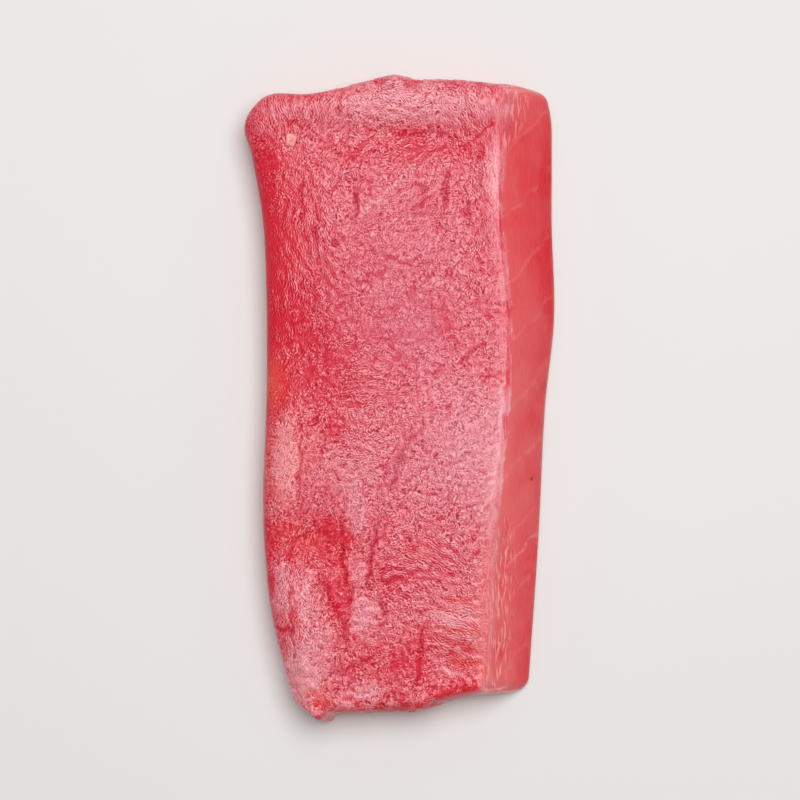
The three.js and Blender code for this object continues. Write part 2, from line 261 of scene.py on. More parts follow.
# How the fine wrinkles lie: centre, half widths, direction in degrees from +X, and how
# strictly they keep it
WRINKLES = {
    "left margin": (-14.2, 14, 3, 18, 90, 0.8),
    "left part": (-9.6, 21, 2.8, 11, 97, 0.6),
    "left margin near": (-13.4, -28, 2.5, 12, 96, 0.6),
    "far left lobe": (-15.5, 36, 3, 3.4, 104, 0.7),
    "far left": (-9, 36.6, 3.6, 2.8, 76, 0.6),
    "far middle": (0, 37, 5, 3, -18, 0.6),
    "far right": (8.4, 35.6, 3, 4.4, -58, 0.7),
    "far corner": (13.6, 34, 2.6, 7, -84, 0.8),
    "far seam": (2, 31.6, 5, 1.8, 4, 0.6),
    "upper diagonal": (3.4, 24.6, 4, 4, 40, 0.6),
    "right margin": (11, 20, 2.2, 12, 100, 0.5),
    "middle left": (-3.4, 2, 3.6, 5, -2, 0.6),
    "middle left near": (-5, -8, 4, 4, -14, 0.5),
    "below the loop": (0, -22, 4, 3.6, -8, 0.6),
    "ripples": (5.5, -21, 3.4, 3.4, -32, 0.85),
    "near middle": (-3, -31, 3.6, 4, -26, 0.5),
    "near right": (8.4, -30.5, 5, 5.6, -26, 0.85),
}

# Where the flesh is torn and fibre ends stand out: centre and half widths
TORN = {
    "tongue": (-12.6, -36, 1.8, 4),
    "near edge": (-1, -40, 13, 0.9),
    "far edge": (0, 40, 12, 0.8),
}

# A pale fleck of tissue on the far left lobe: centre, half sizes, turn and thickness, and how
# far its middle is above the flesh
FLECK = (-13.4, 32.6, 0.66, 0.84, -0.1, 0.2)
FLECK_LIFT = 0.06

# Tiny specks of dark blood, and how wide they are
BLOOD_SPECKS = [(17, -10.2), (2.4, -11.7)]
BLOOD_WIDTH = 0.5

# Half width of the dark groove in a crease, darkened in the colour as painted shade, and the
# depth that makes it darkest
GROOVE = 0.16
DEEP_CREASE = 0.42

# Waver of the creases: how far off their lines they stray, and how long its bends are
WAVER = 0.28
WAVER_LENGTHS = (1.6, 4.5)

# Relief that Geometry Nodes add, in millimetres
RELIEF = {
    "Wrinkle Pitch": 1.2, "Wrinkle Depth": 0.07, "Fold Width": 3.4, "Fold Depth": 0.1,
    "Streak Width": 0.9, "Streak Depth": 0.2, "Tear Width": 1.3, "Tear Depth": 1.5,
}

# Torn fibre ends, in millimetres, and how many to a square millimetre
FIBRES = {"Length": 1.1, "Thickness": 0.13, "Arch": 0.12}
FIBRE_DENSITY = 0.7

# Width over which the cut face's look turns into the cut side's, at the crisp and the soft part
# of that edge, and how far the side goes down
EDGE_WIDTH = 0.3
SOFT_WIDTH = 3.2
FLANK_LENGTH = 9

# Share of the width that is the cut side's edge, and of the torn ends' height over which the
# cut face's look fades
CUT_SHARE = 0.04
FADE_SHARE = 0.16

# Spots of noise to a millimetre across the slice, along it and upwards, for the strands and for
# the fine pale glints along the cut's edge
STRAND_DRAW = (3.4, 0.75, 1)
GLINT_DRAW = (5, 0.5, 1.5)

# Sheets of pale tissue in the muscle: the way they face, and how far apart they are
SHEET_NORMAL = (-0.765, 0.634, -0.1)
SHEET_SPACING = 5.2

# Sizes of the material's patterns, in millimetres: colour patches, blotches and grain, the
# crinkle's cells, its ridges, their patches and its height, and the clouds in thin tissue
PATCH_WIDTH = 4.5
BLOTCH_WIDTH = 2.2
SPECK_WIDTH = 0.32
CELL_WIDTH = 0.35
RIDGE_PITCH = 0.33
RIDGE_PATCH = 0.56
CRINKLE_BUMP = 0.021
TISSUE_CLOUD = 0.4

# How much of a patch one wrinkle of the relief takes up
WAVE_PATCH = 0.6

# Typical for raw fish, and for the watery film on it
FLESH_IOR = 1.38
FILM_IOR = 1.35


def catmull_rom(points, place):
    """Places on the smooth curve through the points, where a place counts the points passed."""
    points = np.array(points, float)
    last = len(points) - 1
    start = np.clip(np.floor(place).astype(int), 0, last - 1)
    share = (place - start)[..., None]
    before, here, after, beyond = (points[np.clip(start + k, 0, last)] for k in (-1, 0, 1, 2))
    leaving = (after - before) / 2
    arriving = (beyond - here) / 2
    cubic = 2 * here - 2 * after + leaving + arriving
    square = 3 * after - 3 * here - 2 * leaving - arriving
    return ((cubic * share + square) * share + leaving) * share + here


def along_curve(points, shares):
    """Places at shares of the length of the smooth curve through the points."""
    counts = np.linspace(0, len(points) - 1, 201)
    steps = np.linalg.norm(np.diff(catmull_rom(points, counts), axis=0), axis=1)
    travelled = np.concatenate([[0.0], np.cumsum(steps)])
    place = np.interp(shares, travelled / travelled[-1], counts)
    return catmull_rom(points, place)


def foot_towards(upper, dy, corner):
    """The foot of an end: its upper edge, leaning where it meets the left side."""
    last = len(upper) - 1
    return [(x + LEFT_LEAN * (1 - i / last), y + dy) for i, (x, y) in enumerate(upper)] + [corner]


UPPER = {"left": LEFT_EDGE, "right": RIGHT_EDGE, "near": NEAR_EDGE, "far": FAR_EDGE}
near_foot = foot_towards(NEAR_EDGE, -NEAR_SPREAD, RIGHT_FOOT[0])
far_foot = foot_towards(FAR_EDGE, -FAR_LEAN, RIGHT_FOOT[-1])
left_foot = [(x + LEFT_LEAN, y) for x, y in LEFT_EDGE]
FOOT = {
    "left": [near_foot[0], *left_foot[1:-1], far_foot[0]],
    "right": RIGHT_FOOT,
    "near": near_foot,
    "far": far_foot,
}
WIDTH = (along_curve(RIGHT_EDGE, np.array(0.5)) - along_curve(LEFT_EDGE, np.array(0.5)))[0]
LENGTH = LEFT_EDGE[-1][1] - LEFT_EDGE[0][1]


def crowded_steps(count):
    """Steps from 0 to 1 that crowd together towards both ends."""
    even = np.linspace(0, 1, count + 1)
    return even - EDGE_CROWDING * np.sin(2 * math.pi * even) / (2 * math.pi)


def soften_corners(across, along):
    """Places by their shares across and along, drawn in where the corners are rounded."""
    a, b = [
        np.clip(1 - np.minimum(share, 1 - share) * size / CORNER_ROUND, 0, 1)
        for share, size in ((across, WIDTH), (along, LENGTH))
    ]
    for share, size, own, other in ((across, WIDTH, a, b), (along, LENGTH, b, a)):
        drawn = own * (1 - np.sqrt(1 - other * other / 2)) * CORNER_ROUND / size
        yield share + np.where(share < 0.5, drawn, -drawn)


def plan_points(edges, across, along):
    """Points inside four edges that meet at their corners, across and along from 0 to 1."""
    across, along = soften_corners(across, along)
    s = across[..., None]
    t = along[..., None]
    sides = (1 - s) * along_curve(edges["left"], along) + s * along_curve(edges["right"], along)
    ends = (1 - t) * along_curve(edges["near"], across) + t * along_curve(edges["far"], across)
    near, far = [
        (1 - s) * np.array(edges[end][0]) + s * np.array(edges[end][-1]) for end in ("near", "far")
    ]
    return sides + ends - (1 - t) * near - t * far


def roll_drop(distance, roll):
    """The drop of a rolled edge at a distance in from it: a quarter of an ellipse."""
    fall, reach = roll
    inward = np.clip(1 - distance / reach, 0, 1)
    return fall * (1 - np.sqrt(1 - inward**2))


def edge_softness(y):
    """How soft the right edge is, from 0 to 1, at places along the slice."""
    return sum(smooth_step((y - start) / (end - start)) for start, end in SOFT_EDGES)


def waver(places):
    """The places strayed a little by seeded bends, so that lines waver."""
    draw = np.random.default_rng(SEED)
    strayed = places.copy()
    for _ in range(12):
        turn, start, towards = draw.uniform(0, 2 * math.pi, 3)
        length = draw.uniform(*WAVER_LENGTHS)
        along = places[..., 0] * math.cos(turn) + places[..., 1] * math.sin(turn)
        bend = WAVER / 3 * np.sin(2 * math.pi * along / length + start)
        strayed += bend[..., None] * np.array([math.cos(towards), math.sin(towards)])
    return strayed


def distance_to_path(places, path):
    """Each place's distance from a line of points, on which side and at what share of it."""
    least = np.full(places.shape[:-1], np.inf)
    side = np.ones_like(least)
    passed = np.zeros_like(least)
    for number, (start, end) in enumerate(zip(path[:-1], path[1:])):
        run = end - start
        away = places - start
        share = np.clip(away @ run / (run @ run), 0, 1)
        gap = np.linalg.norm(away - share[..., None] * run, axis=-1)
        turned = np.sign(run[0] * away[..., 1] - run[1] * away[..., 0])
        nearer = gap < least
        side = np.where(nearer, turned, side)
        passed = np.where(nearer, (number + share) / (len(path) - 1), passed)
        least = np.minimum(least, gap)
    return least, side, passed


def beside_lines(places, lines):
    """For each line: its sizes, each place's distance, side and share of it, and its taper."""
    strayed = waver(places)
    for *sizes, path in lines.values():
        gap, side, passed = distance_to_path(strayed, along_curve(path, np.linspace(0, 1, 17)))
        yield sizes, gap, side, passed, np.sqrt(np.clip(4 * passed * (1 - passed), 0, 1))


def crease_profile(places):
    """How deep the creases are at each place, how high their lips, and their grooves, which the
    colour darkens as painted shade.
    """
    valley, lips, groove = np.zeros((3, *places.shape[:-1]))
    for (depth, half, lip), gap, side, passed, taper in beside_lines(places, CREASES):
        ragged = 0.86 + 0.14 * np.sin(19 * passed + 40 * depth)
        valley += depth * taper * ragged * np.exp(-((gap / half) ** 2))
        lips += lip * taper * np.exp(-(((gap * side - 1.8 * half) / (1.2 * half)) ** 2))
        share = max(depth, 0) / DEEP_CREASE
        groove = np.maximum(groove, share * taper * ragged * np.exp(-((gap / GROOVE) ** 2)))
    return valley, lips, groove


def line_profile(places):
    """How pale the pale lines are at each place."""
    return sum(
        amount * taper * np.exp(-((gap / half) ** 2))
        for (amount, half), gap, _, _, taper in beside_lines(places, PALE_LINES)
    )


def face_height(places):
    """The height of the upper face, before its edges roll down."""
    height = np.full(places.shape[:-1], THICKNESS)
    for *oval, rise in SWELLS.values():
        height += rise * bell(places, *oval)
    valley, lips, _ = crease_profile(places)
    return height - valley + lips


def upper_face():
    """The upper face as a grid of points, near left first, and its shares across and along."""
    steps = (crowded_steps(STEPS_ALONG), crowded_steps(STEPS_ACROSS))
    along, across = np.meshgrid(*steps, indexing="ij")
    places = plan_points(UPPER, across, along)
    softness = edge_softness(places[..., 1])
    right = [crisp + (soft - crisp) * softness for crisp, soft in zip(CRISP_ROLL, SOFT_ROLL)]
    sides = roll_drop(across * WIDTH, ROLL["left"]) + roll_drop((1 - across) * WIDTH, right)
    ends = roll_drop(along * LENGTH, ROLL["near"]) + roll_drop((1 - along) * LENGTH, ROLL["far"])
    height = face_height(places) - np.hypot(sides, ends)
    return np.dstack([places, height]), across, along


def side_rings(border, across, along):
    """Loops of points down the sides from the upper border: the flank, then the round foot."""
    def foot_loop(inset):
        in_across = 0.5 + (across - 0.5) * (1 - 2 * inset / WIDTH)
        in_along = 0.5 + (along - 0.5) * (1 - 2 * inset / LENGTH)
        return plan_points(FOOT, in_across, in_along)

    foot = foot_loop(0)
    ahead = np.roll(foot, -1, axis=0) - np.roll(foot, 1, axis=0)
    outward = np.stack([ahead[:, 1], -ahead[:, 0]], axis=1)
    outward /= np.linalg.norm(outward, axis=1)[:, None]
    for down in np.linspace(0, 1, FLANK_STEPS + 1)[1:]:
        swell = FLANK_SWELL * math.sin(math.pi * down)
        plan = border[:, :2] * (1 - down) + foot * down + outward * swell
        yield np.column_stack([plan, border[:, 2] * (1 - down) + FOOT_ROUND * down])
    for angle in np.linspace(0, math.pi / 2, FOOT_STEPS + 1)[1:]:
        loop = foot_loop(FOOT_ROUND * (1 - math.cos(angle)))
        height = FOOT_ROUND * (1 - math.sin(angle))
        yield np.column_stack([loop, np.full(len(loop), height)])


def plan_shift():
    """How far the plan moves so that its box has the solid's middle."""
    around = np.linspace(0, 1, 200)
    none, whole = np.zeros_like(around), np.ones_like(around)
    borders = [(around, none), (around, whole), (none, around), (whole, around)]
    plan = np.concatenate([plan_points(edges, *b) for edges in (UPPER, FOOT) for b in borders])
    box_middle = (np.array(cad_low) + np.array(cad_high))[:2] / 2
    return box_middle / MM - (plan.min(0) + plan.max(0)) / 2


SHIFT = plan_shift()


def smooth_step(share):
    """A share from 0 to 1 that starts and ends gently."""
    share = np.clip(share, 0, 1)
    return share * share * (3 - 2 * share)


def bell(places, x, y, wide, long, degrees=0, steepness=1):
    """1 at the middle of an oval, which may be turned, falling to 0 round its border."""
    turn = math.radians(degrees)
    away_x, away_y = places[..., 0] - x, places[..., 1] - y
    ahead = (away_x * math.cos(turn) + away_y * math.sin(turn)) / wide
    aside = (away_y * math.cos(turn) - away_x * math.sin(turn)) / long
    return np.exp(-((ahead**2 + aside**2) ** steepness))


def tints(places):
    """How pale, lilac and orange the flesh is at each place."""
    amounts = np.array([PLAIN_TINT]).repeat(len(places), axis=0)
    for x, y, wide, long, *changes in TINTS.values():
        amounts[:, :len(changes)] += bell(places, x, y, wide, long)[:, None] * changes
    strayed = waver(places[:, :2])
    for x, y, wide, long, degrees, *changes in PLATES.values():
        plate = bell(strayed, x, y, wide, long, degrees, 2)
        amounts[:, :len(changes)] += plate[:, None] * changes
    return amounts.T


def wrinkle_lie(places):
    """The wrinkles' direction in radians and how strictly they keep it, at each place."""
    pull = np.zeros(len(places), complex)
    for x, y, wide, long, degrees, strictness in WRINKLES.values():
        pull += bell(places, x, y, wide, long) * strictness * np.exp(2j * math.radians(degrees))
    return np.angle(pull) / 2, np.clip(np.abs(pull), 0, 0.95)


def slice_mesh():
    """The smooth slice as a mesh, with attributes for its relief and its looks."""
    grid, across, along = upper_face()
    index = np.arange(across.size).reshape(across.shape)
    grid, across, along = grid.reshape(-1, 3), across.ravel(), along.ravel()

    # The grid's border runs once round, anticlockwise from above
    border = np.concatenate([index[0], index[1:, -1], index[-1, -2::-1], index[-2:0:-1, 0]])
    count = len(border)
    rings = [*side_rings(grid[border], across[border], along[border])]
    points = np.concatenate([grid, *rings])
    values = dict(zip(("pale", "lilac", "orange"), tints(points)))
    values["valley"], _, values["groove"] = crease_profile(points[:, :2])
    lie, values["strictness"] = wrinkle_lie(points)
    values["wave_turn"] = lie + math.pi / 2
    values["torn"] = sum(bell(points, *zone) for zone in TORN.values())
    values["pale_line"] = line_profile(points[:, :2])
    points[:, :2] += SHIFT

    corners = [index[:-1, :-1], index[:-1, 1:], index[1:, 1:], index[1:, :-1]]
    quads = [np.stack(corners, -1).reshape(-1, 4)]
    upper = border
    for level in range(len(rings)):
        lower = index.size + level * count + np.arange(count)
        quads.append(np.stack([upper, lower, np.roll(lower, -1), np.roll(upper, -1)], -1))
        upper = lower
    faces = np.concatenate(quads).tolist() + [upper[::-1].tolist()]

    # The cut face ends at an edge on the cut side, and fades down the torn ends
    all_across = np.concatenate([across, np.tile(across[border], len(rings))])
    ring_share = np.repeat(np.arange(1, len(rings) + 1) / len(rings), count)
    down = np.concatenate([np.zeros(index.size), ring_share])
    on_cut = smooth_step((all_across - 1 + CUT_SHARE) / CUT_SHARE)
    softness = edge_softness(points[:, 1])
    values["across"], values["down"] = all_across, down
    values["on_face"] = on_cut + (1 - on_cut) * (1 - smooth_step(down / FADE_SHARE))
    values["from_cut"] = (1 - all_across) * WIDTH - on_cut * down * FLANK_LENGTH
    values["edge_width"] = EDGE_WIDTH + (SOFT_WIDTH - EDGE_WIDTH) * softness

    mesh = bpy.data.meshes.new("tuna_flesh")
    mesh.from_pydata((points * MM).tolist(), [], faces)
    mesh.polygons.foreach_set("use_smooth", [True] * (len(faces) - 1) + [False])
    for name, at_points in values.items():
        attribute = mesh.attributes.new(name, "FLOAT", "POINT")
        attribute.data.foreach_set("value", at_points.astype(np.float32))
    return mesh


# Kinds of nodes that are used often: a node's own name, with the setting that tells it apart
PLUS, MINUS, TIMES, OVER, TIMES_PLUS, ABSOLUTE = [
    ("ShaderNodeMath", {"operation": name})
    for name in ("ADD", "SUBTRACT", "MULTIPLY", "DIVIDE", "MULTIPLY_ADD", "ABSOLUTE")
]
MOVE, MOVE_BACK, STRETCH, SCALE = [
    ("ShaderNodeVectorMath", {"operation": name}) for name in ("ADD", "SUBTRACT", "MULTIPLY", "SCALE")
]
MIX_COLOUR = ("ShaderNodeMix", {"data_type": "RGBA"})
NOISE_4D = ("ShaderNodeTexNoise", {"noise_dimensions": "4D"})
NOISE = "ShaderNodeTexNoise"
GABOR = "ShaderNodeTexGabor"
RANGE = "ShaderNodeMapRange"
MIX = "ShaderNodeMix"

# A noise's middle colour
GREY = (0.5, 0.5, 0.5)


def add_node(tree, kind, *inputs, **settings):
    """Adds a node with its settings, and sets or links its inputs, in order or by a dict of names.

    The kind is a node's own name, alone or with settings that go with it."""
    name, preset = (kind, {}) if isinstance(kind, str) else kind
    node = tree.nodes.new(name)
    for setting, value in {**preset, **settings}.items():
        setattr(node, setting, value)
    live = [socket for socket in node.inputs if socket.enabled]
    by_name = len(inputs) == 1 and isinstance(inputs[0], dict)
    for key, value in inputs[0].items() if by_name else enumerate(inputs):
        socket = live[key] if isinstance(key, int) else next(s for s in live if s.name == key)
        if isinstance(value, bpy.types.Node):
            value = next(s for s in value.outputs if s.enabled)
        if isinstance(value, bpy.types.NodeSocket):
            tree.links.new(value, socket)
        else:
            socket.default_value = value
    return node


def new_tree(name, inputs):
    """A Geometry Nodes tree with named inputs, what adds nodes to it, and its inputs' sockets."""
    tree = bpy.data.node_groups.new(name, "GeometryNodeTree")
    for label, kind in inputs.items():
        tree.interface.new_socket(label, in_out="INPUT", socket_type="NodeSocket" + kind)
    tree.interface.new_socket("Geometry", in_out="OUTPUT", socket_type="NodeSocketGeometry")
    add = partial(add_node, tree)
    return tree, add, add("NodeGroupInput").outputs


def bend(add, place, noise, reach):
    """The place pushed about by a noise's colour, and the push itself."""
    centred = add(MOVE_BACK, noise.outputs["Color"], GREY)
    pushed = add(SCALE, centred, reach)
    return add(MOVE, place, pushed), pushed


def put_out(add, geometry, material):
    """The end of a tree: real geometry, with its material, goes out."""
    realized = add("GeometryNodeRealizeInstances", geometry)
    finished = add("GeometryNodeSetMaterial", {"Geometry": realized, "Material": material})
    add("NodeGroupOutput", finished)


def new_material(name):
    """A material with no nodes yet, and what adds nodes to it."""
    material = bpy.data.materials.new(name)
    material.use_nodes = True
    material.node_tree.nodes.clear()
    return material, partial(add_node, material.node_tree)


def new_object(name, data):
    """An object in the scene."""
    piece = bpy.data.objects.new(name, data)
    bpy.context.scene.collection.objects.link(piece)
    return piece


def linear(hex_colour):
    """An sRGB hex colour as linear red, green, blue and alpha."""
    parts = [int(hex_colour[i:i + 2], 16) / 255 for i in (1, 3, 5)]
    return (*[p / 12.92 if p <= 0.04045 else ((p + 0.055) / 1.055) ** 2.4 for p in parts], 1.0)


def muscle_relief_tree():
    """Geometry Nodes tree that raises wrinkles and sinks folds along a slice's normals.

    Down the sides these give way to streaks: steep on the torn ends, faint along the cut side."""
    sizes = dict.fromkeys(RELIEF, "Float")
    tree, add, given = new_tree("muscle_relief", {
        "Slice": "Geometry", **sizes, "Seed": "Float", "Flesh": "Material",
    })
    seed = given["Seed"]
    place = add("GeometryNodeInputPosition")
    normal = add("GeometryNodeInputNormal")
    facing_up = add("ShaderNodeSeparateXYZ", normal).outputs["Z"]
    down, across, strictness, wave_turn, torn = [
        add("GeometryNodeInputNamedAttribute", name)
        for name in ("down", "across", "strictness", "wave_turn", "torn")
    ]
    per_fold, per_wrinkle, per_streak, per_tear = [
        add(OVER, 1, given[name])
        for name in ("Fold Width", "Wrinkle Pitch", "Streak Width", "Tear Width")
    ]

    # The wrinkles bend, pushed about by a soft noise
    push = add(NOISE_4D, place, seed, per_fold, 2)
    bent, _ = bend(add, place, push, add(TIMES, given["Wrinkle Pitch"], 1.6))
    waves = add(GABOR, add(SCALE, bent, per_wrinkle), WAVE_PATCH, 1 / WAVE_PATCH, strictness, wave_turn)
    wave = add(RANGE, waves, 0.3, 0.7, -1, 1)
    keen = add(TIMES, wave, add(TIMES_PLUS, strictness, 0.5, 0.6))
    wrinkle = add(TIMES, keen, given["Wrinkle Depth"])

    # Folds: fine valleys that wander and break off, where a soft noise passes its middle
    fold = add(NOISE_4D, {"Vector": bent, "W": seed, "Scale": per_fold, "Detail": 1, "Distortion": 0.4})
    whole_line = add(RANGE, add(ABSOLUTE, add(MINUS, fold, 0.5)), 0, 0.026, 1, 0)
    push_up = add("ShaderNodeSeparateXYZ", push.outputs["Color"]).outputs["Z"]
    fold_line = add(TIMES, whole_line, add(RANGE, push_up, 0.45, 0.58))
    fold_fall = add(TIMES, fold_line, given["Fold Depth"])
    top_rise = add(MINUS, wrinkle, fold_fall)
    top_share = add("ShaderNodeMath", facing_up, 2, operation="POWER")
    raised_share = add(TIMES, top_share, add(RANGE, across, 0.94, 0.985, 1, 0.15))
    up_rise = add(TIMES, top_rise, raised_share)

    # Streaks on the sides: the noise is drawn out down the torn ends, or along the cut side
    on_side = add(RANGE, down, 0, 0.22)
    on_cut = add(RANGE, across, 0.985, 0.999)
    drawn = add(MIX, on_cut, (1, 1, 0.22), (1, 0.12, 1), data_type="VECTOR")
    drawn_place = add(STRETCH, place, drawn)
    streak = add(NOISE_4D, {
        "Vector": drawn_place, "W": seed, "Scale": per_streak, "Detail": 2, "Distortion": 0.3,
    })
    streak_rise = add(TIMES, add(MINUS, streak, 0.5), add(TIMES_PLUS, on_cut, -0.8, 1))
    side_rise = add(TIMES, streak_rise, given["Streak Depth"])
    rise = add(MIX, on_side, up_rise, side_rise)

    # Torn edges are ragged, and the sole stays flat
    tear = add(NOISE_4D, place, seed, per_tear, 3)
    tear_share = add(TIMES, add(MINUS, tear, 0.5), torn)
    rise = add(TIMES_PLUS, tear_share, given["Tear Depth"], rise)
    grounded = add(TIMES, rise, add(RANGE, down, 0.75, 0.9, 1, 0))

    # For the material, which paints light and shade from them: the relief over the wrinkles' depth,
    # the folds, and how flat the flesh lies
    relief = add(OVER, grounded, given["Wrinkle Depth"])
    fold_share = add(TIMES, fold_line, top_share)
    flatness = add(RANGE, facing_up, 0.3, 0.92, 0.15, 1)
    kept = given["Slice"]
    for name, value in {"relief": relief, "fold": fold_share, "flatness": flatness}.items():
        kept = add("GeometryNodeStoreNamedAttribute", {"Geometry": kept, "Name": name, "Value": value})
    raised = add("GeometryNodeSetPosition", {"Geometry": kept, "Offset": add(SCALE, normal, grounded)})
    put_out(add, raised, given["Flesh"])
    return tree


def through_nodes(name, mesh, tree, values):
    """The mesh as a Geometry Nodes tree leaves it, as an object of its own with no modifier."""
    carrier = new_object(name + "_raw", mesh)
    modifier = carrier.modifiers.new("nodes", "NODES")
    modifier.node_group = tree
    for item in tree.interface.items_tree:
        if item.item_type == "SOCKET" and item.in_out == "INPUT" and item.name in values:
            modifier[item.identifier] = values[item.name]
    evaluated = carrier.evaluated_get(bpy.context.evaluated_depsgraph_get())
    finished = bpy.data.meshes.new_from_object(evaluated)
    finished.name = name
    bpy.data.objects.remove(carrier)
    return new_object(name, finished)


def torn_fibres_tree():
    """Geometry Nodes tree that lays small arched fibres over the torn parts of a slice."""
    sizes = dict.fromkeys(FIBRES, "Float")
    tree, add, given = new_tree("torn_fibres", {
        "Slice": "Geometry", **sizes, "Density": "Float", "Seed": "Int", "Fibre": "Material",
    })
    seed = given["Seed"]
    torn, lie = [add("GeometryNodeInputNamedAttribute", name) for name in ("torn", "wave_turn")]
    normal = add("GeometryNodeInputNormal")
    facing_up = add("ShaderNodeSeparateXYZ", normal).outputs["Z"]
    upper = add(RANGE, facing_up, 0.3, 0.6)
    density = add(TIMES, add(TIMES, torn, upper), given["Density"])
    sown = {"Mesh": given["Slice"], "Density": density, "Seed": seed}
    spots = add("GeometryNodeDistributePointsOnFaces", sown)

    # One fibre: a low arch along X, round in section, thinner towards its ends
    half = add(TIMES, given["Length"], 0.5)
    arch = add("GeometryNodeCurveQuadraticBezier", {
        "Resolution": 7,
        "Start": add("ShaderNodeCombineXYZ", add(TIMES, half, -1)),
        "Middle": add("ShaderNodeCombineXYZ", {"Z": given["Arch"]}),
        "End": add("ShaderNodeCombineXYZ", half),
    })
    along = add("GeometryNodeSplineParameter").outputs["Factor"]
    bulge = add("ShaderNodeMath", add(TIMES, along, math.pi), operation="SINE")
    taper = add(TIMES_PLUS, bulge, 0.7, 0.3)
    tapered = add("GeometryNodeSetCurveRadius", {"Curve": arch, "Radius": taper})
    radius = add(TIMES, given["Thickness"], 0.5)
    section = add("GeometryNodeCurvePrimitiveCircle", {"Resolution": 5, "Radius": radius})
    fibre = add("GeometryNodeCurveToMesh", {
        "Curve": tapered, "Profile Curve": section, "Fill Caps": True,
    })

    # Each lies about the way of the wrinkles there, and varies in size
    upright = add("FunctionNodeAlignRotationToVector", {"Vector": spots.outputs["Normal"]})
    stray = add("FunctionNodeRandomValue", {"Min": -0.6, "Max": 0.6, "Seed": seed})
    swung = add(PLUS, add(PLUS, lie, stray), -math.pi / 2)
    turn = add("FunctionNodeAxisAngleToRotation", {"Axis": (0, 0, 1), "Angle": swung})
    laid = add("FunctionNodeRotateRotation", upright, turn, rotation_space="LOCAL")
    size = add("FunctionNodeRandomValue", {"Min": 0.45, "Max": 1.15, "Seed": seed})
    strewn = add("GeometryNodeInstanceOnPoints", {
        "Points": spots, "Instance": fibre, "Rotation": laid, "Scale": size,
    })
    put_out(add, strewn, given["Fibre"])
    return tree


def tissue_material(name, colour):
    """Connective tissue, pale, wet and thin enough to let the red below through."""
    material, add = new_material(name)
    place = add("ShaderNodeTexCoord").outputs["Object"]
    cloud = add(NOISE, place, 1 / (TISSUE_CLOUD * MM), 2)
    share = add(RANGE, cloud, 0.38, 0.62, 0, 0.8)
    mixed = add(MIX_COLOUR, share, linear(colour), linear("#da6468"))
    bump = add("ShaderNodeBump", {"Strength": 1, "Distance": 0.05 * MM, "Height": cloud})
    shader = add("ShaderNodeBsdfPrincipled", {
        "Base Color": mixed, "Roughness": 0.4, "IOR": FLESH_IOR, "Normal": bump,
        "Subsurface Weight": 0.6, "Subsurface Radius": (1, 0.4, 0.3), "Subsurface Scale": 0.4 * MM,
        "Coat Weight": 0.6, "Coat Roughness": 0.15, "Coat IOR": FILM_IOR,
    })
    add("ShaderNodeOutputMaterial", shader)
    return material


